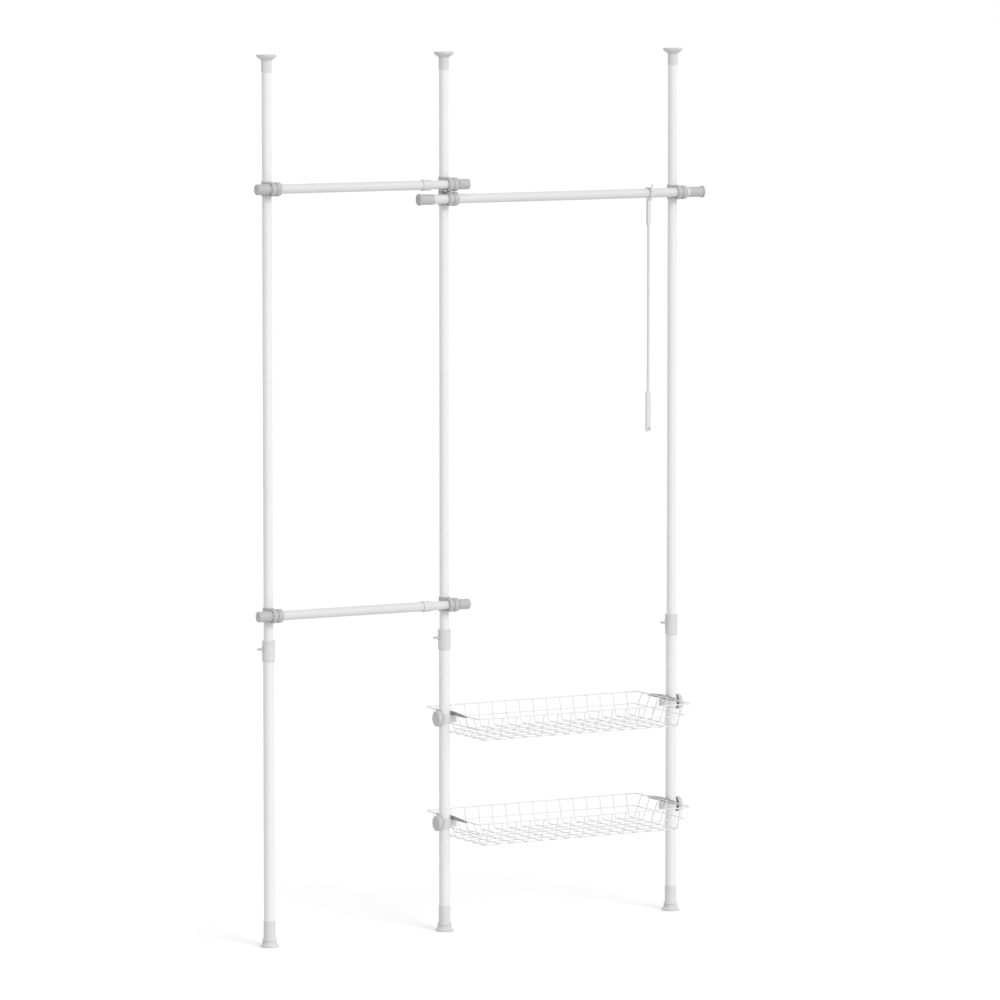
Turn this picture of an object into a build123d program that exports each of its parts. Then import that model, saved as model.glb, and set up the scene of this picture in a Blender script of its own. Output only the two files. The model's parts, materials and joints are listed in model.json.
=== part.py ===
from build123d import *
import math
import os

# Floor-to-ceiling clothes rack: three telescopic poles in a row, two short rails in the left
# bay, one long rail in the right bay, two wire baskets and a pull-down hook stick.
# X runs along the row, the front is at -Y, Z is up.
# The origin is on the floor, at the middle of the centre pole's foot.

# Layout of the row
ceiling_height = 2600.0
left_bay = 580.0
right_bay = 775.0
rail_offset = 34.0
upper_left_rail_drop = 386.5
right_rail_drop = 429.0
lower_left_rail_z = 975.6
basket_rim_heights = (648.7, 336.7)

# Tubes
lower_tube_r = 16.0
upper_tube_r = 14.0
inner_rail_r = 12.7
tube_wall = 1.0
tube_seam_z = 1655.0
hidden_overlap = 600.0
ferrule_length = 80.0
ferrule_wall = 1.5

# Fits
seat_gap = 0.05
run_gap = 0.1
clear_gap = 0.3
cut_overrun = 1.0

# Foot: a flared pad on a threaded stem, and a sleeve that holds the nut
pad_height = 17.5
pad_foot_r = 26.4
pad_wide_r = 27.3
pad_edge_height = 3.0
pad_neck_r = 21.0
pad_neck_height = 5.5
pad_flare_bow = 0.7
pad_edge_round = 0.8
foot_groove = 1.5
groove_neck_r = 19.0
stem_r = 5.0
stem_top_z = 58.0
sleeve_top_z = 77.0
sleeve_r = 17.25
sleeve_flange_r = 20.4
sleeve_flange_height = 6.5
sleeve_floor = 5.0
sleeve_edge_round = 1.0

# Lock collar and its wing screw
collar_bottom_z = 840.0
collar_top_z = 900.0
collar_r = 18.75
collar_lip_r = 19.6
collar_lip_height = 6.0
collar_edge_round = 0.9
lower_tube_top_z = 864.0
wing_z = 876.0
wing_shaft_r = 2.4
wing_root_r = 6.5
wing_root_length = 7.0
wing_root_end_r = 3.2
wing_reach = 14.5
wing_width = 19.0
wing_thickness = 3.0
wing_corner_r = 5.0
wing_tilt = 5.0

# Top cap: a sleeve round the tube and a flared ceiling pad plugged into it
cap_sleeve_length = 35.0
cap_sleeve_r = 15.25
cap_pad_height = 16.0
cap_pad_neck_r = 15.8
cap_pad_r = 29.3
cap_pad_edge = 5.0
cap_flare_bow = 0.8
cap_plug_length = 22.0
cap_edge_round = 0.7

# Rails: the left ones telescope, the right one is a single tube
left_rail_stub = 51.0
left_cap_length = 40.0
rail_cap_r = 15.5
rail_cap_face = 3.0
rail_cap_round = 1.2
right_cap_start = 28.0
right_cap_length = 35.0
reducer_left = -92.0
reducer_right = -60.0
reducer_r = 16.0
reducer_rim_r = 16.9
reducer_rim_length = 6.0
reducer_nose_r = 14.2
reducer_nose_length = 9.0
reducer_grip_length = 24.0
inner_rail_overlap = 300.0
long_rail_left_end = -103.0
long_rail_right_end = 860.0
long_cap_length = 48.0
long_cap_flange = 5.0
long_cap_flange_r = 17.75
long_cap_dish_r = 11.0
long_cap_dish_depth = 1.6

# Cross clamp: a sleeve round the pole and a ribbed band round the rail in front of it
clamp_height = 42.0
clamp_sleeve_r = 16.6
clamp_band_r = 18.0
clamp_rib_r = 20.0
clamp_band_left = -8.0
clamp_band_right = 24.0
clamp_rib_width = 14.5
clamp_rib_round = 1.0
clamp_web_half_height = 16.0
clamp_lug_r = 4.8
clamp_lug_count = 3
clamp_lug_pitch = 14.5
clamp_lug_round = 1.6
clamp_lug_left = -13.5
clamp_shelf_width = 11.0

# Basket bracket: a jaw round the lower tube, a steel arm and a round clamp knob
jaw_drop = 13.7
jaw_height = 30.0
jaw_r = 19.0
jaw_block_reach = 36.5
jaw_block_half_width = 10.0
jaw_block_height = 22.0
jaw_block_round = 1.5
arm_half_length = 92.0
arm_thickness = 2.0
arm_web_x = 20.7
arm_rise_middle = 7.5
arm_rise_tip = 2.0
arm_flat_half_length = 24.0
arm_lip_reach = 27.0
knob_r = 23.0
knob_back = 17.0
knob_face = 29.5
knob_wall = 2.6
knob_round = 3.0
knob_hub_r = 7.0
knob_hub_start = 19.6
knob_bolt_r = 4.0

# Basket wires
rim_inset = 25.0
rim_half_depth = 165.0
rim_wire_r = 1.9
wire_r = 1.4
rim_corner_r = 14.0
basket_depth = 66.0
long_wall_slope = 20.0
short_wall_slope = 30.0
band_drop = 35.0
band_corner_r = 11.0
wire_bend_r = 8.0
weld_gap = 0.02
cross_wire_count = 15
cross_wire_margin = 37.0
long_wire_count = 6
long_wire_pitch = 50.0

# Hook stick
hook_x = 675.0
hook_set_back = 3.0
strap_thickness = 2.9
strap_width = 10.0
strap_back_drop = 12.0
strap_front_drop = 20.0
strap_corner_r = 9.0
hook_body_width = 11.0
hook_body_top = 24.0
hook_body_bottom = 95.0
hook_body_round = 1.2
neck_rise = 9.0
finger_width = 5.0
finger_thickness = 3.2
finger_root_z = -8.0
finger_bow_z = 6.0
finger_bow = 3.2
finger_tip_z = 28.0
shaft_r = 4.2
shaft_socket = 18.0
grip_top_drop = 591.0
grip_length = 121.0
grip_half_width = 9.0
grip_half_depth = 6.2
grip_socket = 40.0
grip_hole_r = 3.3
grip_hole_up = 9.0
grip_top_round = 2.0
grip_end_round = 5.0

# Places worked out from the sizes above
pole_x = {"left": -left_bay, "centre": 0.0, "right": right_bay}
upper_tube_bore = upper_tube_r - tube_wall
lower_tube_bore = lower_tube_r - tube_wall
sleeve_bottom_z = pad_height + foot_groove
tube_bottom_z = sleeve_bottom_z + sleeve_floor
pad_bottom_z = ceiling_height - cap_pad_height
cap_sleeve_bottom_z = pad_bottom_z - cap_sleeve_length
upper_left_rail_z = ceiling_height - upper_left_rail_drop
right_rail_z = ceiling_height - right_rail_drop
middle_tube_bottom_z = lower_tube_top_z - hidden_overlap
rail_y = -rail_offset
outer_rail_right = reducer_left + reducer_grip_length
outer_rail_left = -left_bay - left_rail_stub
inner_rail_left = outer_rail_right - inner_rail_overlap
inner_rail_right = right_cap_start + right_cap_length
long_wire_depth = basket_depth + 2 * wire_r + weld_gap


def turned(*edges):
    """Turn a closed outline of radius and height about the Z axis."""
    return revolve(Plane.XZ * make_face(Curve() + list(edges)), Axis.Z)


def rod_z(radius, low, high):
    return Pos(0, 0, low) * Cylinder(radius, high - low, align=(Align.CENTER, Align.CENTER, Align.MIN))


def rod_x(radius, left, right):
    return Pos(left, 0, 0) * Rot(0, 90, 0) * Cylinder(
        radius, right - left, align=(Align.CENTER, Align.CENTER, Align.MIN))


def pipe_z(radius, bore, low, high):
    return rod_z(radius, low, high) - rod_z(bore, low - cut_overrun, high + cut_overrun)


def pipe_x(radius, bore, left, right):
    return rod_x(radius, left, right) - rod_x(bore, left - cut_overrun, right + cut_overrun)


def block(left, right, front, back, low, high):
    size = (right - left, back - front, high - low)
    return Pos(left, front, low) * Box(*size, align=(Align.MIN, Align.MIN, Align.MIN))


def end_edges(shape, axis, radius):
    """Round edges of the given radius, in order along the axis."""
    rounds = [e for e in shape.edges().filter_by(GeomType.CIRCLE) if abs(e.radius - radius) < seat_gap]
    return ShapeList(rounds).sort_by(axis)


def foot_pad():
    edge = (pad_wide_r, pad_edge_height)
    waist = (pad_neck_r, pad_height - pad_neck_height)
    neck = (pad_neck_r, pad_height)
    pad = turned(
        Line((0, 0), (pad_foot_r, 0)), Line((pad_foot_r, 0), edge), SagittaArc(edge, waist, pad_flare_bow),
        Line(waist, neck), Line(neck, (0, pad_height)), Line((0, pad_height), (0, 0)))
    pad = fillet(end_edges(pad, Axis.Z, pad_neck_r)[-1], pad_edge_round)
    return pad + rod_z(stem_r, 0, stem_top_z) + rod_z(groove_neck_r, 0, sleeve_bottom_z - clear_gap)


def foot_sleeve():
    sleeve = rod_z(sleeve_r, sleeve_bottom_z, sleeve_top_z)
    sleeve = fillet(end_edges(sleeve, Axis.Z, sleeve_r)[-1], sleeve_edge_round)
    flange = rod_z(sleeve_flange_r, sleeve_bottom_z, sleeve_bottom_z + sleeve_flange_height)
    sleeve += fillet(end_edges(flange, Axis.Z, sleeve_flange_r), sleeve_edge_round)
    socket = rod_z(lower_tube_r + seat_gap, tube_bottom_z, sleeve_top_z + cut_overrun)
    return sleeve - socket - rod_z(stem_r + run_gap, 0, tube_bottom_z + cut_overrun)


def lower_tube():
    return pipe_z(lower_tube_r, lower_tube_bore, tube_bottom_z, lower_tube_top_z)


def lock_collar():
    collar = rod_z(collar_r, collar_bottom_z, collar_top_z)
    collar = fillet(end_edges(collar, Axis.Z, collar_r)[0], collar_edge_round)
    lip = rod_z(collar_lip_r, collar_top_z - collar_lip_height, collar_top_z)
    lip = fillet(end_edges(lip, Axis.Z, collar_lip_r), collar_edge_round)
    seat = rod_z(lower_tube_r + seat_gap, collar_bottom_z - cut_overrun, lower_tube_top_z)
    guide = rod_z(upper_tube_r + run_gap, collar_bottom_z, collar_top_z + cut_overrun)
    screw_hole = Pos(0, 0, wing_z) * rod_x(wing_shaft_r + run_gap, -collar_lip_r, 0)
    return collar + lip - seat - guide - screw_hole


def wing_screw():
    root_x = collar_r + clear_gap
    tip_x = upper_tube_r + clear_gap
    shaft = rod_x(wing_shaft_r, -root_x - wing_root_length, -tip_x)
    root = Pos(-root_x, 0, 0) * Rot(0, -90, 0) * Cone(
        wing_root_r, wing_root_end_r, wing_root_length, align=(Align.CENTER, Align.CENTER, Align.MIN))
    wing = RectangleRounded(wing_reach, wing_width, wing_corner_r)
    wing = extrude(wing, wing_thickness / 2, both=True)
    wing = Pos(-root_x - wing_reach / 2 - wing_thickness / 2, 0, 0) * wing
    return Pos(0, 0, wing_z) * Rot(wing_tilt, 0, 0) * (shaft + root + wing)


def middle_tube():
    return pipe_z(upper_tube_r, upper_tube_bore, middle_tube_bottom_z, tube_seam_z)


def tube_joint():
    outer = upper_tube_bore - seat_gap
    half = ferrule_length / 2
    return pipe_z(outer, outer - ferrule_wall, tube_seam_z - half, tube_seam_z + half)


def top_tube():
    return pipe_z(upper_tube_r, upper_tube_bore, tube_seam_z, pad_bottom_z)


def cap_sleeve():
    sleeve = rod_z(cap_sleeve_r, cap_sleeve_bottom_z, pad_bottom_z)
    sleeve = fillet(end_edges(sleeve, Axis.Z, cap_sleeve_r)[0], cap_edge_round)
    return sleeve - rod_z(upper_tube_r + seat_gap, cap_sleeve_bottom_z - cut_overrun, ceiling_height)


def ceiling_pad():
    neck = (cap_pad_neck_r, pad_bottom_z)
    edge = (cap_pad_r, ceiling_height - cap_pad_edge)
    rim = (cap_pad_r, ceiling_height)
    pad = turned(
        Line((0, pad_bottom_z), neck), SagittaArc(neck, edge, -cap_flare_bow), Line(edge, rim),
        Line(rim, (0, ceiling_height)), Line((0, ceiling_height), (0, pad_bottom_z)))
    pad = fillet(end_edges(pad, Axis.Z, cap_pad_r), cap_edge_round)
    plug_bottom_z = pad_bottom_z - cap_plug_length
    return pad + rod_z(upper_tube_bore - seat_gap, plug_bottom_z, ceiling_height - cap_pad_edge)


def cross_clamp(rail_r):
    """A clamp with the pole axis on Z and the rail axis at its height zero."""
    half = clamp_height / 2
    sleeve = rod_z(clamp_sleeve_r, -half, half)
    sleeve = fillet(end_edges(sleeve, Axis.Z, clamp_sleeve_r), clamp_rib_round / 2)
    band = rod_x(clamp_band_r, clamp_band_left, clamp_band_right)
    for left in (clamp_band_left, clamp_band_right - clamp_rib_width):
        rib = rod_x(clamp_rib_r, left, left + clamp_rib_width)
        band += fillet(end_edges(rib, Axis.X, clamp_rib_r), clamp_rib_round)
    lugs = []
    for number in range(clamp_lug_count):
        x = clamp_lug_left + number * clamp_lug_pitch
        lug = Pos(x, 0, 0) * rod_z(clamp_lug_r, -half, -rail_cap_r - seat_gap)
        lugs.append(fillet(end_edges(lug, Axis.Z, clamp_lug_r)[0], clamp_lug_round))
    lugs.append(Rot(180, 0, 0) * lugs[1])
    front = Pos(0, rail_y, 0) * (band + lugs)
    web_depth = clamp_band_left + clamp_rib_width
    web = block(clamp_band_left, web_depth, rail_y, 0, -clamp_web_half_height, clamp_web_half_height)
    shelf_left = clamp_lug_left - clamp_shelf_width / 2
    shelf_top = -rail_cap_r - seat_gap
    shelf = block(shelf_left, clamp_band_left, rail_y, -upper_tube_r, clamp_lug_round - half, shelf_top)
    clamp = sleeve + front + web + shelf
    clamp -= rod_z(upper_tube_r + seat_gap, -clamp_height, clamp_height)
    return clamp - Pos(0, rail_y, 0) * rod_x(rail_r + seat_gap, -clamp_height, clamp_height)


def rail_cap(radius, left, right, closed_left):
    """A plastic end cap over a rail, closed at one end."""
    cap = rod_x(rail_cap_r, left, right)
    face = end_edges(cap, Axis.X, rail_cap_r)[0 if closed_left else -1]
    cap = fillet(face, rail_cap_round)
    low = left + rail_cap_face if closed_left else left - cut_overrun
    high = right + cut_overrun if closed_left else right - rail_cap_face
    return cap - rod_x(radius + seat_gap, low, high)


def left_outer_cap():
    return rail_cap(upper_tube_r, outer_rail_left, outer_rail_left + left_cap_length, True)


def left_inner_cap():
    return rail_cap(inner_rail_r, right_cap_start, inner_rail_right, False)


def outer_rail():
    return pipe_x(upper_tube_r, upper_tube_bore, outer_rail_left + rail_cap_face, outer_rail_right)


def inner_rail():
    return pipe_x(inner_rail_r, inner_rail_r - tube_wall, inner_rail_left, inner_rail_right - rail_cap_face)


def reducer():
    nose_left = reducer_right - reducer_nose_length
    body = rod_x(reducer_r, reducer_left, nose_left)
    rim = rod_x(reducer_rim_r, reducer_left, reducer_left + reducer_rim_length)
    rim = fillet(end_edges(rim, Axis.X, reducer_rim_r), rail_cap_round)
    nose = Pos(nose_left, 0, 0) * Rot(0, 90, 0) * Cone(
        reducer_r, reducer_nose_r, reducer_nose_length, align=(Align.CENTER, Align.CENTER, Align.MIN))
    outer_seat = rod_x(upper_tube_r + seat_gap, reducer_left - cut_overrun, outer_rail_right)
    guide = rod_x(inner_rail_r + run_gap, reducer_left, reducer_right + cut_overrun)
    return body + rim + nose - outer_seat - guide


def long_rail():
    return pipe_x(
        upper_tube_r, upper_tube_bore, long_rail_left_end + long_cap_flange,
        long_rail_right_end - long_cap_flange)


def long_rail_caps():
    """Both end caps of the long rail, with a dished flange at the face."""
    cap = rod_x(rail_cap_r, 0, long_cap_length)
    flange = rod_x(long_cap_flange_r, 0, long_cap_flange)
    flange = fillet(end_edges(flange, Axis.X, long_cap_flange_r), rail_cap_round)
    bore = rod_x(upper_tube_r + seat_gap, long_cap_flange, long_cap_length + cut_overrun)
    dish = rod_x(long_cap_dish_r, -cut_overrun, long_cap_dish_depth)
    cap = cap + flange - bore - dish
    left = Pos(long_rail_left_end, 0, 0) * cap
    right = Pos(long_rail_right_end, 0, 0) * Rot(0, 0, 180) * cap
    return group(left, right)


def group(*solids):
    """Several separate solids in one node."""
    return Compound(children=[s for piece in solids for s in piece.solids()])


def basket_jaw():
    """A jaw at the origin's pole; its block points to +X. Height zero is the rim wire's."""
    ring = rod_z(jaw_r, -jaw_drop - jaw_height / 2, -jaw_drop + jaw_height / 2)
    ring = fillet(end_edges(ring, Axis.Z, jaw_r), sleeve_edge_round)
    top = -rim_wire_r - clear_gap - arm_thickness
    half = jaw_block_half_width
    boss = block(0, jaw_block_reach, -half, half, top - jaw_block_height, top)
    boss = fillet(boss.edges().filter_by(Axis.Z).sort_by(Axis.X)[-2:], jaw_block_round)
    jaw = ring + boss - rod_z(lower_tube_r + run_gap, -jaw_drop - jaw_height, jaw_height)
    return jaw - Pos(0, 0, -jaw_drop) * rod_x(knob_bolt_r + run_gap, -jaw_r - cut_overrun, 0)


def basket_arm():
    """A tapered steel angle that carries the rim wire on its lip."""
    lip_top = -rim_wire_r - clear_gap
    lip_bottom = lip_top - arm_thickness
    outline = [
        (-arm_half_length, lip_bottom), (arm_half_length, lip_bottom), (arm_half_length, arm_rise_tip),
        (arm_flat_half_length, arm_rise_middle), (-arm_flat_half_length, arm_rise_middle),
        (-arm_half_length, arm_rise_tip)]
    web = extrude(Plane.YZ * make_face(Polyline(outline, close=True)), arm_thickness)
    lip = block(0, arm_lip_reach - arm_web_x, -arm_half_length, arm_half_length, lip_bottom, lip_top)
    return Pos(arm_web_x, 0, 0) * (web + lip)


def basket_knob():
    """A cup-shaped knob with its bolt, at the origin's pole, facing -X."""
    cup = rod_x(knob_r, -knob_face, -knob_back)
    cup = fillet(end_edges(cup, Axis.X, knob_r)[0], knob_round)
    cup -= rod_x(knob_r - knob_wall, -knob_face + knob_wall, 0)
    hub = rod_x(knob_hub_r, -knob_face + knob_wall / 2, -knob_hub_start)
    bolt = rod_x(knob_bolt_r, -knob_face + knob_wall / 2, -lower_tube_r - clear_gap)
    return Pos(0, 0, -jaw_drop) * (cup + hub + bolt)


def on_right_pole(piece):
    """The same bracket piece turned round to face the other way, on the right pole."""
    return Pos(right_bay, 0, 0) * Rot(0, 0, 180) * piece


def swept_wire(path, radius):
    """A round wire along a path."""
    start = Plane(origin=path @ 0, z_dir=path % 0)
    return sweep(start * Circle(radius), path=path)


def wire_ring(half_x, half_y, corner_r, radius, z):
    """A closed rectangular wire with round corners, centred between the two poles."""
    straight_x = half_x - corner_r
    straight_y = half_y - corner_r
    ring = None
    for turn in range(4):
        reach, side = (half_y, straight_x) if turn % 2 == 0 else (half_x, straight_y)
        straight = Rot(0, 0, 90 * turn) * Pos(0, -reach, 0) * rod_x(radius, -side, side)
        bend = revolve(
            Plane.XZ * Pos(corner_r, 0) * Circle(radius), Axis.Z, revolution_arc=90)
        corner = (straight_x, straight_y) if turn % 2 == 0 else (straight_y, straight_x)
        bend = Rot(0, 0, 90 * turn) * Pos(corner[0], -corner[1], 0) * Rot(0, 0, -90) * bend
        ring = straight + bend if ring is None else ring + straight + bend
    return Pos(right_bay / 2, 0, z) * ring


def wall_share(slope):
    """How much further apart two wires on a sloping wall lie when measured level."""
    return 1 / math.cos(math.atan2(slope, basket_depth))


def wall_inset(slope):
    """Level distance from the rim wire to a wall wire welded inside it."""
    return (rim_wire_r + wire_r + weld_gap) * wall_share(slope)


def band_half(rim_half, slope, depth):
    """Half the width of the band wire, which is welded outside the wall wires."""
    inset = wall_inset(slope)
    drop_share = band_drop / depth
    return rim_half - inset - (slope - inset) * drop_share + (2 * wire_r + weld_gap) * wall_share(slope)


def basket_rings():
    """The rim wire and the band wire half way down the walls. Height zero is the rim."""
    rim_half = right_bay / 2 - rim_inset
    band_half_x = band_half(rim_half, short_wall_slope, long_wire_depth)
    band_half_y = band_half(rim_half_depth, long_wall_slope, basket_depth)
    rim = wire_ring(rim_half, rim_half_depth, rim_corner_r, rim_wire_r, 0)
    band = wire_ring(band_half_x, band_half_y, band_corner_r, wire_r, -band_drop)
    return group(rim, band)


def u_wire(plane, half_top, half_bottom, depth):
    """A wire that runs down one wall, over the floor and up the other wall."""
    points = [(-half_top, 0), (-half_bottom, -depth), (half_bottom, -depth), (half_top, 0)]
    return swept_wire(plane * FilletPolyline(*points, radius=wire_bend_r), wire_r)


def cross_wires():
    """The wires across the basket, front to back."""
    top = rim_half_depth - wall_inset(long_wall_slope)
    wire = u_wire(Plane.YZ, top, rim_half_depth - long_wall_slope, basket_depth)
    span = right_bay - 2 * rim_inset - 2 * cross_wire_margin
    first = rim_inset + cross_wire_margin
    pitch = span / (cross_wire_count - 1)
    return group(*[Pos(first + pitch * i, 0, 0) * wire for i in range(cross_wire_count)])


def long_wires():
    """The wires along the basket, one wire below the cross wires at the floor."""
    half = right_bay / 2 - rim_inset
    wire = u_wire(Plane.XZ, half - wall_inset(short_wall_slope), half - short_wall_slope, long_wire_depth)
    middle = (long_wire_count - 1) / 2
    places = [long_wire_pitch * (i - middle) for i in range(long_wire_count)]
    return group(*[Pos(right_bay / 2, y, 0) * wire for y in places])


def side_plate(width, *points):
    """A plate of the hook, given by its side view: towards the front, and up from the rail."""
    outline = [(-forward, up) for forward, up in points]
    return extrude(Plane.YZ * make_face(Polyline(outline, close=True)), width / 2, both=True)


def hook_strap():
    """A strap bent over the rail, long in front and short behind."""
    inner = upper_tube_r + clear_gap
    outer = inner + strap_thickness
    half = strap_width / 2
    strap = block(-half, half, -outer, outer, -strap_front_drop, outer)
    strap = fillet(strap.edges().filter_by(Axis.X).sort_by(Axis.Z)[-2:], strap_corner_r)
    hollow = block(-strap_width, strap_width, -inner, inner, -strap_front_drop - cut_overrun, inner)
    top_edges = hollow.edges().filter_by(Axis.X).sort_by(Axis.Z)[-2:]
    hollow = fillet(top_edges, strap_corner_r - strap_thickness)
    low = -strap_front_drop - cut_overrun
    behind = block(-half, half, inner - cut_overrun, outer + cut_overrun, low, inner - strap_back_drop)
    front = block(-half, half, -outer, -inner + cut_overrun, low, -neck_rise)
    return strap - hollow - behind - front


def hook_head():
    """Strap over the rail, finger standing up in front of it, neck and square body below it."""
    inner = upper_tube_r + clear_gap
    outer = inner + strap_thickness
    half_body = hook_body_width / 2
    front_face = half_body - hook_set_back
    back_face = -half_body - hook_set_back
    low = -hook_body_top - half_body
    neck = side_plate(
        strap_width, (0, 0), (inner, 0), (outer, 0), (outer, finger_root_z), (front_face, -hook_body_top),
        (front_face, low), (back_face, low), (back_face, -hook_body_top), (back_face / 2, -inner))
    bow = outer + finger_bow
    finger = side_plate(
        finger_width, (inner, finger_root_z), (outer + finger_thickness / 2, finger_root_z),
        (bow, finger_bow_z),
        (outer + finger_thickness / 2, finger_tip_z), (outer - finger_thickness / 4, finger_tip_z),
        (bow - finger_thickness, finger_bow_z), (inner, 0))
    body = block(-half_body, half_body, -front_face, -back_face, -hook_body_bottom, -hook_body_top)
    body = fillet(body.edges().filter_by(Axis.Z), hook_body_round)
    head = hook_strap() + (neck - rod_x(inner, -strap_width, strap_width)) + finger + body
    socket = rod_z(shaft_r + seat_gap, -hook_body_bottom - cut_overrun, shaft_socket - hook_body_bottom)
    return Pos(hook_x, 0, 0) * (head - Pos(0, hook_set_back, 0) * socket)


def hook_shaft():
    shaft = rod_z(shaft_r, -grip_top_drop - grip_socket, shaft_socket - hook_body_bottom)
    return Pos(hook_x, hook_set_back, 0) * shaft


def hook_grip():
    """An oval grip, rounder at its lower end, with a hanging hole from front to back."""
    bottom = -grip_top_drop - grip_length
    grip = rod_z(grip_half_width, bottom, -grip_top_drop)
    rims = end_edges(grip, Axis.Z, grip_half_width)
    grip = fillet(rims[0], grip_end_round)
    grip = fillet(end_edges(grip, Axis.Z, grip_half_width)[-1], grip_top_round)
    grip = scale(grip, by=(1, grip_half_depth / grip_half_width, 1))
    grip -= rod_z(shaft_r + seat_gap, -grip_top_drop - grip_socket, 0)
    hole = Rot(90, 0, 0) * rod_z(grip_hole_r, -grip_half_width, grip_half_width)
    grip -= Pos(0, 0, bottom + grip_hole_up) * hole
    return Pos(hook_x, hook_set_back, 0) * grip


def on_pole(name, piece):
    return Pos(pole_x[name], 0, 0) * piece


def on_rail(height, piece):
    return Pos(0, rail_y, height) * piece


def pole_nodes():
    """The pieces of the three poles. Small pieces of the two right-hand poles share nodes."""
    nodes = {}
    for name in pole_x:
        nodes[name + "_foot_pad"] = on_pole(name, foot_pad())
        nodes[name + "_lower_tube"] = on_pole(name, lower_tube())
        nodes[name + "_wing_screw"] = on_pole(name, wing_screw())
        nodes[name + "_middle_tube"] = on_pole(name, middle_tube())
        nodes[name + "_top_tube"] = on_pole(name, top_tube())
    shared = {
        "foot_sleeve": foot_sleeve, "lock_collar": lock_collar, "tube_joint": tube_joint,
        "cap_sleeve": cap_sleeve, "ceiling_pad": ceiling_pad}
    for name, make in shared.items():
        piece = make()
        nodes["left_" + name] = on_pole("left", piece)
        nodes["right_bay_" + name + "s"] = group(on_pole("centre", piece), on_pole("right", piece))
    return nodes


def rail_nodes():
    nodes = {}
    for name, height in (("left_upper", upper_left_rail_z), ("left_lower", lower_left_rail_z)):
        nodes[name + "_rail_outer_tube"] = on_rail(height, outer_rail())
        nodes[name + "_rail_inner_tube"] = on_rail(height, inner_rail())
        nodes[name + "_rail_reducer"] = on_rail(height, reducer())
        nodes[name + "_rail_left_cap"] = on_rail(height, left_outer_cap())
        nodes[name + "_rail_right_cap"] = on_rail(height, left_inner_cap())
        nodes[name + "_rail_left_clamp"] = Pos(0, 0, height) * on_pole("left", cross_clamp(upper_tube_r))
        nodes[name + "_rail_centre_clamp"] = Pos(0, 0, height) * cross_clamp(inner_rail_r)
    nodes["right_rail_tube"] = on_rail(right_rail_z, long_rail())
    nodes["right_rail_end_caps"] = on_rail(right_rail_z, long_rail_caps())
    for name in ("centre", "right"):
        clamp = on_pole(name, cross_clamp(upper_tube_r))
        nodes["right_rail_" + name + "_clamp"] = Pos(0, 0, right_rail_z) * clamp
    return nodes


def hook_nodes():
    return {
        "hook_head": on_rail(right_rail_z, hook_head()),
        "hook_shaft": on_rail(right_rail_z, hook_shaft()),
        "hook_grip": on_rail(right_rail_z, hook_grip())}


def basket_nodes():
    nodes = {}
    for name, height in zip(("upper_basket", "lower_basket"), basket_rim_heights):
        lift = Pos(0, 0, height)
        jaw = basket_jaw()
        arm = basket_arm()
        nodes[name + "_jaws"] = lift * group(jaw, on_right_pole(jaw))
        nodes[name + "_arms"] = lift * group(arm, on_right_pole(arm))
        nodes[name + "_left_knob"] = lift * basket_knob()
        nodes[name + "_right_knob"] = lift * on_right_pole(basket_knob())
        nodes[name + "_rim_wires"] = lift * basket_rings()
        nodes[name + "_cross_wires"] = lift * cross_wires()
        nodes[name + "_long_wires"] = lift * long_wires()
    return nodes


os.makedirs("parts", exist_ok=True)
for family in (pole_nodes(), rail_nodes(), hook_nodes(), basket_nodes()):
    for node, shape in family.items():
        export_step(shape, "parts/" + node + ".step")
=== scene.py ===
import json
import math

import bmesh
import bpy
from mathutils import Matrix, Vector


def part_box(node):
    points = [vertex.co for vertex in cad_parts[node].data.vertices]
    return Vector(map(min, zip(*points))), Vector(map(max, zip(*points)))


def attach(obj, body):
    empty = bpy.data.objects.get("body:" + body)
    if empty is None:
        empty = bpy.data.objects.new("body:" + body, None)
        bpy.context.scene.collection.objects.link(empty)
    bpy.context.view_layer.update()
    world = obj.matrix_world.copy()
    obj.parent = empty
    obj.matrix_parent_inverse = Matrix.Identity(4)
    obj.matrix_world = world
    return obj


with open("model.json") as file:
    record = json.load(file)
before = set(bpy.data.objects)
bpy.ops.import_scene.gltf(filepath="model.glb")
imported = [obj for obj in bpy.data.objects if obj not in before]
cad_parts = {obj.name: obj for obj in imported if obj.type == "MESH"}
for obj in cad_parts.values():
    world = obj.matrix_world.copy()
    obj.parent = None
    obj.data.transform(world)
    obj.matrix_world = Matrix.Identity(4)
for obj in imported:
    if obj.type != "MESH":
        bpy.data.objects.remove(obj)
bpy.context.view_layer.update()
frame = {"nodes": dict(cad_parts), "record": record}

# Camera: fitted to the photograph without lens shift, so that other views frame the whole rack
CAMERA_PLACE = (-8.7713, -16.3264, 3.1592)
CAMERA_TURN = -28.755
CAMERA_PITCH = 5.781
CAMERA_LENS = 227.8
CAMERA_SENSOR = 36.0

# Light: even from all round, and stronger from the side that is on the right of the picture
SKY_BRIGHT_SIDE = (0.877, -0.481, 0.0)
SKY_DIM = 0.47
SKY_BRIGHT = 0.88
KEY_STRENGTH = 1.25
KEY_SOFTNESS = 30.0
KEY_TILT = (60.0, 0.0, 8.0)
FILL_STRENGTH = 0.35
FILL_TILT = (60.0, 0.0, 200.0)
FLOOR_RADIUS = 400.0
FLOOR_SIDES = 64
FLOOR_COLOUR = 0.80
FLOOR_LIFT = 0.28

# Basket wires, in metres, as in the CAD
RIM_WIRE_R = 0.0019
WIRE_R = 0.0014
BASKET_DEPTH = 0.066
BAND_DROP = 0.035
LONG_WALL_SLOPE = 0.020
SHORT_WALL_SLOPE = 0.030
CROSS_WIRES = 15
LONG_WIRES = 6
WELD_R = 0.0017
WELD_DETAIL = 2

# Line where the middle and top tubes of each pole meet, in metres
SEAM_HEIGHT = 1.655
SEAM_HALF = 0.0007
SEAM_SHADE = 0.72

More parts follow.
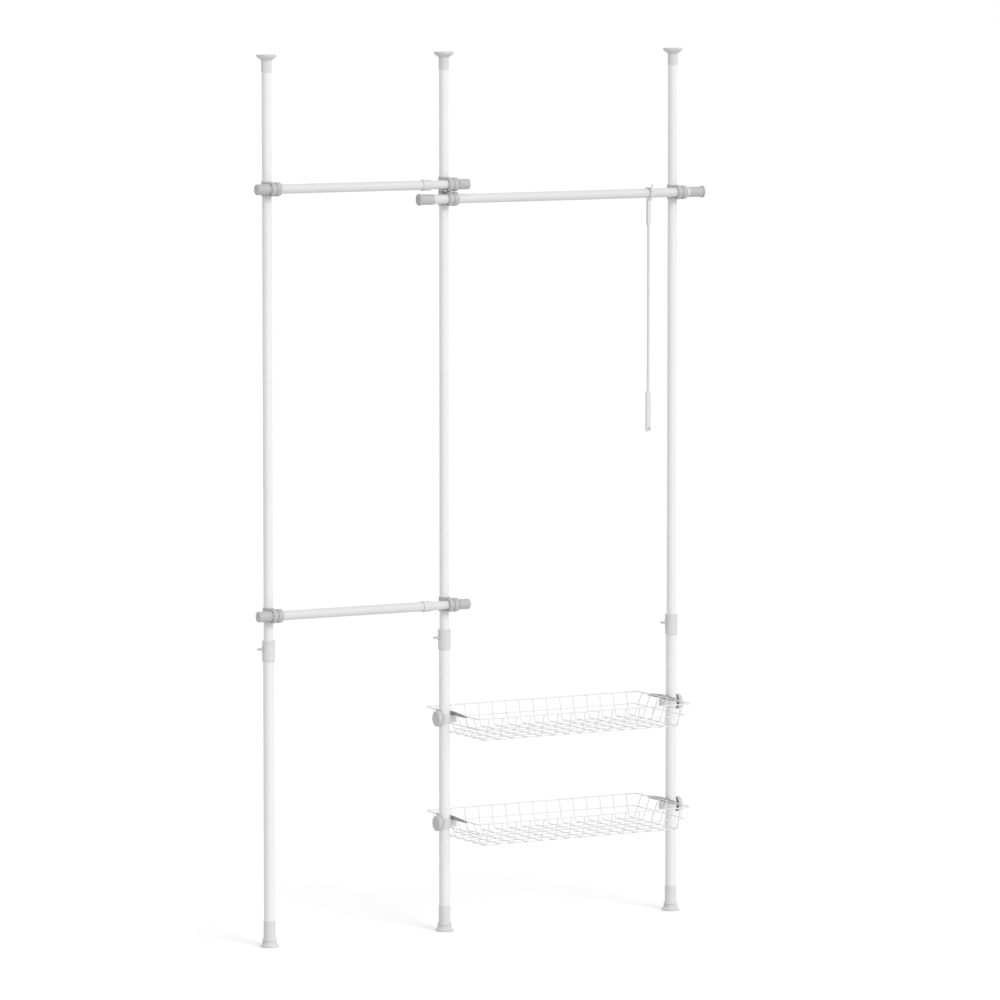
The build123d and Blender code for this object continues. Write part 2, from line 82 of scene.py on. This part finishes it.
# Clouding that all paints and plastics share. Scales are repeats in a metre, and a shade is a
# share of the finish's own level
CLOUD_RANGE = (0.3, 0.7)

# Powder coat
PAINT_CLOUD_SCALE = 3
PAINT_CLOUD_SHADE = 0.97
SCUFF_SCALE = 26
SCUFF_DETAIL = 5
SCUFF_RANGE = (0.60, 0.72)
SCUFF_SHARE = 0.35
SCUFF_SHADE = 0.86
PAINT_ROUGHNESS = (0.34, 0.56)
PEEL_SCALE = 900
PEEL_DETAIL = 2
PEEL_DEPTH = 0.00012
PEEL_STRENGTH = 0.5

# Moulded plastic
PLASTIC_CLOUD_SCALE = 14
PLASTIC_CLOUD_SHADE = 0.94
RUB_SCALE = 70
RUB_DETAIL = 4
RUB_RANGE = (0.62, 0.72)
RUB_SHARE = 0.4
RUB_SHADE = 1.12
PALEST_PLASTIC = 0.9
RUB_POLISH = 0.14
GRAIN_DETAIL = 3
GRAIN_DEPTH = 0.0002
GRAIN_STRENGTH = 0.45

# Plated steel
DRAWN_SCALE = 160
DRAWN_DETAIL = 4
DRAWN_RANGE = (0.2, 0.8)
STEEL_ROUGHNESS = (0.28, 0.48)
PATCH_SCALE = 40
PATCH_DETAIL = 4
PATCH_RANGE = (0.35, 0.65)
PATCH_SHADE = 0.85
DRAWN_DEPTH = 0.00008
DRAWN_STRENGTH = 0.4

# How a pattern is stretched along a piece: a small share draws it out
ALONG_X = (0.06, 1, 1)
ALONG_Z = (1, 1, 0.06)
ALONG_Y = (1, 0.04, 1)


class Finish:
    """A material under construction, with its nodes and links at hand."""

    def __init__(self, name):
        self.material = bpy.data.materials.new(name)
        self.material.use_nodes = True
        self.nodes = self.material.node_tree.nodes
        self.links = self.material.node_tree.links
        self.shader = self.nodes["Principled BSDF"]
        self.place = self.nodes.new("ShaderNodeTexCoord").outputs["Object"]

    def noise(self, scale, detail=3, stretch=(1, 1, 1)):
        """Noise that stays fixed to the piece."""
        mapping = self.nodes.new("ShaderNodeMapping")
        mapping.inputs["Scale"].default_value = stretch
        self.links.new(self.place, mapping.inputs["Vector"])
        noise = self.nodes.new("ShaderNodeTexNoise")
        noise.inputs["Scale"].default_value = scale
        noise.inputs["Detail"].default_value = detail
        self.links.new(mapping.outputs["Vector"], noise.inputs["Vector"])
        return noise.outputs["Fac"]

    def span(self, value, ends_in, ends_out=(0.0, 1.0)):
        """The value, taken from one pair of ends to another."""
        node = self.nodes.new("ShaderNodeMapRange")
        low, high = ends_in
        new_low, new_high = ends_out
        ends = {"From Min": low, "From Max": high, "To Min": new_low, "To Max": new_high}
        for name, number in ends.items():
            node.inputs[name].default_value = number
        self.links.new(value, node.inputs["Value"])
        return node.outputs["Result"]

    def maths(self, operation, first, second=0.0):
        """The result of one operation on values or numbers."""
        node = self.nodes.new("ShaderNodeMath")
        node.operation = operation
        for socket, value in zip(node.inputs, (first, second)):
            if isinstance(value, (int, float)):
                socket.default_value = value
            else:
                self.links.new(value, socket)
        return node.outputs["Value"]

    def colour(self, share, first, second):
        """Blend from one colour to another by a share, and return the result."""
        node = self.nodes.new("ShaderNodeMix")
        node.data_type = "RGBA"
        self.links.new(share, node.inputs["Factor"])
        for name, value in (("A", first), ("B", second)):
            socket = next(s for s in node.inputs if s.name == name and s.type == "RGBA")
            if isinstance(value, tuple):
                socket.default_value = (*value, 1)
            else:
                self.links.new(value, socket)
        return next(s for s in node.outputs if s.type == "RGBA")

    def bump(self, height, distance, strength):
        """Relief of the surface, with its depth in metres."""
        node = self.nodes.new("ShaderNodeBump")
        node.inputs["Strength"].default_value = strength
        node.inputs["Distance"].default_value = distance
        self.links.new(height, node.inputs["Height"])
        self.links.new(node.outputs["Normal"], self.shader.inputs["Normal"])

    def set(self, socket, value):
        """Give the shader a number, or link a value to it."""
        if isinstance(value, (int, float)):
            self.shader.inputs[socket].default_value = value
        else:
            self.links.new(value, self.shader.inputs[socket])


def grey(level):
    return (level, level, level)


def powder_coat(name, level, stretch, seam=False):
    """White powder coat: orange peel, faint streaks along the tube, scuffs that dull the gloss."""
    finish = Finish(name)
    scuffs = finish.span(finish.noise(SCUFF_SCALE, SCUFF_DETAIL, stretch), SCUFF_RANGE)
    cloud = finish.span(finish.noise(PAINT_CLOUD_SCALE), CLOUD_RANGE)
    paint = finish.colour(cloud, grey(level), grey(level * PAINT_CLOUD_SHADE))
    scuffed = finish.maths("MULTIPLY", scuffs, SCUFF_SHARE)
    paint = finish.colour(scuffed, paint, grey(level * SCUFF_SHADE))
    if seam:
        paint = finish.colour(seam_line(finish), paint, grey(level * SEAM_SHADE))
    finish.set("Base Color", paint)
    finish.set("Roughness", finish.span(scuffs, (0, 1), PAINT_ROUGHNESS))
    finish.bump(finish.noise(PEEL_SCALE, PEEL_DETAIL), PEEL_DEPTH, PEEL_STRENGTH)
    return finish.material


def seam_line(finish):
    """One on the line where two tubes of a pole meet, else zero."""
    axes = finish.nodes.new("ShaderNodeSeparateXYZ")
    finish.links.new(finish.place, axes.inputs["Vector"])
    offset = finish.maths("SUBTRACT", axes.outputs["Z"], SEAM_HEIGHT)
    return finish.span(finish.maths("ABSOLUTE", offset), (SEAM_HALF / 2, SEAM_HALF), (1, 0))


def moulded_plastic(name, level, roughness, grain):
    """Moulded plastic: fine grain, slight clouding, and small rubbed patches."""
    finish = Finish(name)
    cloud = finish.span(finish.noise(PLASTIC_CLOUD_SCALE), CLOUD_RANGE)
    rubs = finish.span(finish.noise(RUB_SCALE, RUB_DETAIL), RUB_RANGE)
    plastic = finish.colour(cloud, grey(level), grey(level * PLASTIC_CLOUD_SHADE))
    rubbed = finish.maths("MULTIPLY", rubs, RUB_SHARE)
    plastic = finish.colour(rubbed, plastic, grey(min(level * RUB_SHADE, PALEST_PLASTIC)))
    finish.set("Base Color", plastic)
    finish.set("Roughness", finish.span(rubs, (0, 1), (roughness, roughness - RUB_POLISH)))
    finish.bump(finish.noise(grain, GRAIN_DETAIL), GRAIN_DEPTH, GRAIN_STRENGTH)
    return finish.material


def plated_steel(name, level, stretch):
    """Pressed steel with a drawn grain along the piece and dull patches of plating."""
    finish = Finish(name)
    drawn = finish.noise(DRAWN_SCALE, DRAWN_DETAIL, stretch)
    patches = finish.span(finish.noise(PATCH_SCALE, PATCH_DETAIL), PATCH_RANGE)
    finish.set("Base Color", finish.colour(patches, grey(level), grey(level * PATCH_SHADE)))
    finish.set("Metallic", 1.0)
    finish.set("Roughness", finish.span(drawn, DRAWN_RANGE, STEEL_ROUGHNESS))
    finish.bump(drawn, DRAWN_DEPTH, DRAWN_STRENGTH)
    return finish.material


finishes = {
    "pole_paint": powder_coat("pole_paint", level=0.84, stretch=ALONG_Z, seam=True),
    # The rails get the poles' white paint made darker, as painted shade, since they catch more light
    # from above
    "rail_shaded_paint": powder_coat("rail_shaded_paint", level=0.72, stretch=ALONG_X),
    # The hook shaft gets the same white paint made darker, as painted shade
    "shaft_shaded_paint": powder_coat("shaft_shaded_paint", level=0.72, stretch=ALONG_Z),
    "wire_coat": powder_coat("wire_coat", level=0.82, stretch=ALONG_X),
    # The clamps' grey is darkened as painted shade for their hollows
    "clamp_shaded_plastic": moulded_plastic("clamp_shaded_plastic", level=0.50, roughness=0.42, grain=700),
    "sleeve_plastic": moulded_plastic("sleeve_plastic", level=0.71, roughness=0.38, grain=700),
    "knob_plastic": moulded_plastic("knob_plastic", level=0.58, roughness=0.50, grain=800),
    "pad_plastic": moulded_plastic("pad_plastic", level=0.67, roughness=0.58, grain=420),
    "hook_plastic": moulded_plastic("hook_plastic", level=0.74, roughness=0.42, grain=700),
    "arm_steel": plated_steel("arm_steel", level=0.45, stretch=ALONG_Y),
    "ferrule_steel": plated_steel("ferrule_steel", level=0.55, stretch=ALONG_Z)}

slot_finishes = {
    "grey_plastic": "clamp_shaded_plastic", "pad_rubber": "pad_plastic", "knob_plastic": "knob_plastic",
    "wing_plastic": "knob_plastic", "steel_arm": "arm_steel", "white_wire": "wire_coat",
    "hook_white": "hook_plastic", "plain_steel": "ferrule_steel"}

# Grey plastic round a tube is paler than the clamps, whose darker grey is painted shade in their hollows
PALE_PIECES = ("sleeve", "collar", "reducer", "jaws")

for subpart in frame["record"]["subparts"]:
    node = subpart["node"]
    slot_name = subpart["material_slot"]
    if node == "hook_shaft":
        finish_name = "shaft_shaded_paint"
    elif slot_name == "white_tube":
        upright = node.endswith(("lower_tube", "middle_tube", "top_tube"))
        finish_name = "pole_paint" if upright else "rail_shaded_paint"
    elif any(word in node for word in PALE_PIECES):
        finish_name = "sleeve_plastic"
    else:
        finish_name = slot_finishes[slot_name]
    for material_slot in frame["nodes"][node].material_slots:
        material_slot.material = finishes[finish_name]


def weld_tree():
    """Geometry nodes for a level grid of weld beads."""
    tree = bpy.data.node_groups.new("weld_grid", "GeometryNodeTree")
    sockets = (
        ("Columns", "NodeSocketInt"), ("Rows", "NodeSocketInt"), ("Width", "NodeSocketFloat"),
        ("Depth", "NodeSocketFloat"), ("Centre", "NodeSocketVector"), ("Bead Radius", "NodeSocketFloat"),
        ("Finish", "NodeSocketMaterial"))
    for name, kind in sockets:
        tree.interface.new_socket(name, in_out="INPUT", socket_type=kind)
    tree.interface.new_socket("Geometry", in_out="OUTPUT", socket_type="NodeSocketGeometry")
    nodes, links = tree.nodes, tree.links
    given = nodes.new("NodeGroupInput").outputs
    grid = nodes.new("GeometryNodeMeshGrid")
    sizes = {"Columns": "Vertices X", "Rows": "Vertices Y", "Width": "Size X", "Depth": "Size Y"}
    for name, socket in sizes.items():
        links.new(given[name], grid.inputs[socket])
    move = nodes.new("GeometryNodeTransform")
    links.new(grid.outputs["Mesh"], move.inputs["Geometry"])
    links.new(given["Centre"], move.inputs["Translation"])
    bead = nodes.new("GeometryNodeMeshIcoSphere")
    bead.inputs["Subdivisions"].default_value = WELD_DETAIL
    links.new(given["Bead Radius"], bead.inputs["Radius"])
    put = nodes.new("GeometryNodeInstanceOnPoints")
    links.new(move.outputs["Geometry"], put.inputs["Points"])
    links.new(bead.outputs["Mesh"], put.inputs["Instance"])
    real = nodes.new("GeometryNodeRealizeInstances")
    links.new(put.outputs["Instances"], real.inputs["Geometry"])
    paint = nodes.new("GeometryNodeSetMaterial")
    links.new(real.outputs["Geometry"], paint.inputs["Geometry"])
    links.new(given["Finish"], paint.inputs["Material"])
    links.new(paint.outputs["Geometry"], nodes.new("NodeGroupOutput").inputs["Geometry"])
    return tree


def grid_mesh(tree, values):
    """The mesh that the tree makes with these values."""
    holder = bpy.data.objects.new("weld_holder", bpy.data.meshes.new("weld_holder"))
    bpy.context.scene.collection.objects.link(holder)
    modifier = holder.modifiers.new("welds", "NODES")
    modifier.node_group = tree
    for item in tree.interface.items_tree:
        if item.in_out == "INPUT":
            modifier[item.identifier] = values[item.name]
    made = holder.evaluated_get(bpy.context.evaluated_depsgraph_get())
    mesh = bpy.data.meshes.new_from_object(made)
    holder.modifiers.remove(modifier)
    bpy.data.objects.remove(holder)
    return mesh


def basket_welds(basket, tree):
    """Weld beads where the wires of one basket meet."""
    rim_low, rim_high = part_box(basket + "_rim_wires")
    cross_low, cross_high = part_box(basket + "_cross_wires")
    long_low, long_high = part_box(basket + "_long_wires")
    middle_x = (rim_low.x + rim_high.x) / 2
    rim_z = rim_high.z - RIM_WIRE_R
    half_x = (rim_high.x - rim_low.x) / 2 - RIM_WIRE_R
    half_y = (rim_high.y - rim_low.y) / 2 - RIM_WIRE_R
    across = cross_high.x - cross_low.x - 2 * WIRE_R
    along = long_high.y - long_low.y - 2 * WIRE_R
    drop_share = BAND_DROP / BASKET_DEPTH
    band_x = half_x - RIM_WIRE_R - WIRE_R - SHORT_WALL_SLOPE * drop_share + 2 * WIRE_R
    band_y = half_y - RIM_WIRE_R - WIRE_R - LONG_WALL_SLOPE * drop_share + 2 * WIRE_R
    rim_touch = rim_z - WIRE_R
    floor_z = rim_z - BASKET_DEPTH - WIRE_R
    grids = (
        (CROSS_WIRES, 2, across, 2 * (half_y - RIM_WIRE_R), rim_touch),
        (2, LONG_WIRES, 2 * (half_x - RIM_WIRE_R), along, rim_touch),
        (CROSS_WIRES, 2, across, 2 * band_y, rim_z - BAND_DROP),
        (2, LONG_WIRES, 2 * band_x, along, rim_z - BAND_DROP),
        (CROSS_WIRES, LONG_WIRES, across, along, floor_z))
    joined = bmesh.new()
    for columns, rows, width, depth, height in grids:
        mesh = grid_mesh(tree, {
            "Columns": columns, "Rows": rows, "Width": width, "Depth": depth,
            "Centre": (middle_x, 0.0, height), "Bead Radius": WELD_R, "Finish": finishes["wire_coat"]})
        joined.from_mesh(mesh)
        bpy.data.meshes.remove(mesh)
    mesh = bpy.data.meshes.new(basket + "_welds")
    joined.to_mesh(mesh)
    joined.free()
    mesh.materials.append(finishes["wire_coat"])
    mesh.shade_smooth()
    welds = bpy.data.objects.new(basket + "_welds", mesh)
    bpy.context.scene.collection.objects.link(welds)
    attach(welds, basket)


beads = weld_tree()
for basket_name in ("upper_basket", "lower_basket"):
    basket_welds(basket_name, beads)


def seen_directly(tree):
    """One where the camera, a mirror or glass looks at the surface, else zero."""
    path = tree.nodes.new("ShaderNodeLightPath")
    seen = path.outputs["Is Camera Ray"]
    for name in ("Is Glossy Ray", "Is Transmission Ray"):
        either = tree.nodes.new("ShaderNodeMath")
        either.operation = "MAXIMUM"
        tree.links.new(seen, either.inputs[0])
        tree.links.new(path.outputs[name], either.inputs[1])
        seen = either.outputs["Value"]
    return seen


def make_floor():
    """A wide pale floor that keeps the shadow and is lifted to white where it is seen."""
    material = bpy.data.materials.new("studio_floor")
    material.use_nodes = True
    tree = material.node_tree
    tree.nodes.clear()
    matt = tree.nodes.new("ShaderNodeBsdfDiffuse")
    matt.inputs["Color"].default_value = (*grey(FLOOR_COLOUR), 1)
    glow = tree.nodes.new("ShaderNodeEmission")
    lift = tree.nodes.new("ShaderNodeMath")
    lift.operation = "MULTIPLY"
    lift.inputs[1].default_value = FLOOR_LIFT
    tree.links.new(seen_directly(tree), lift.inputs[0])
    tree.links.new(lift.outputs["Value"], glow.inputs["Strength"])
    both = tree.nodes.new("ShaderNodeAddShader")
    tree.links.new(matt.outputs["BSDF"], both.inputs[0])
    tree.links.new(glow.outputs["Emission"], both.inputs[1])
    out = tree.nodes.new("ShaderNodeOutputMaterial")
    tree.links.new(both.outputs["Shader"], out.inputs["Surface"])
    disc = bmesh.new()
    bmesh.ops.create_circle(disc, cap_ends=True, segments=FLOOR_SIDES, radius=FLOOR_RADIUS)
    mesh = bpy.data.meshes.new("studio_floor")
    disc.to_mesh(mesh)
    disc.free()
    mesh.materials.append(material)
    floor = bpy.data.objects.new("studio_floor", mesh)
    bpy.context.scene.collection.objects.link(floor)


def make_sky():
    """Even light from all round, white where it is seen."""
    world = bpy.data.worlds.new("studio")
    world.use_nodes = True
    tree = world.node_tree
    background = tree.nodes["Background"]
    background.inputs["Color"].default_value = (1, 1, 1, 1)
    direction = tree.nodes.new("ShaderNodeTexCoord").outputs["Generated"]
    side = tree.nodes.new("ShaderNodeVectorMath")
    side.operation = "DOT_PRODUCT"
    side.inputs[1].default_value = SKY_BRIGHT_SIDE
    tree.links.new(direction, side.inputs[0])
    shade = tree.nodes.new("ShaderNodeMapRange")
    ends = {"From Min": -1.0, "To Min": SKY_DIM, "To Max": SKY_BRIGHT}
    for name, number in ends.items():
        shade.inputs[name].default_value = number
    tree.links.new(side.outputs["Value"], shade.inputs["Value"])
    level = tree.nodes.new("ShaderNodeMapRange")
    level.inputs["To Max"].default_value = 1.0
    tree.links.new(shade.outputs["Result"], level.inputs["To Min"])
    tree.links.new(seen_directly(tree), level.inputs["Value"])
    tree.links.new(level.outputs["Result"], background.inputs["Strength"])
    bpy.context.scene.world = world


def make_sun(name, strength, tilt, softness):
    lamp = bpy.data.lights.new(name, "SUN")
    lamp.energy = strength
    lamp.angle = math.radians(softness)
    sun = bpy.data.objects.new(name, lamp)
    sun.rotation_euler = [math.radians(turn) for turn in tilt]
    bpy.context.scene.collection.objects.link(sun)


def make_camera():
    data = bpy.data.cameras.new("camera")
    data.sensor_width = CAMERA_SENSOR
    data.lens = CAMERA_LENS
    camera = bpy.data.objects.new("camera", data)
    camera.location = CAMERA_PLACE
    camera.rotation_euler = (math.radians(90 - CAMERA_PITCH), 0, math.radians(CAMERA_TURN))
    bpy.context.scene.collection.objects.link(camera)
    bpy.context.scene.camera = camera


make_floor()
make_sky()
make_sun("key_light", KEY_STRENGTH, KEY_TILT, KEY_SOFTNESS)
make_sun("fill_light", FILL_STRENGTH, FILL_TILT, KEY_SOFTNESS)
make_camera()
bpy.context.scene.view_settings.view_transform = "Standard"
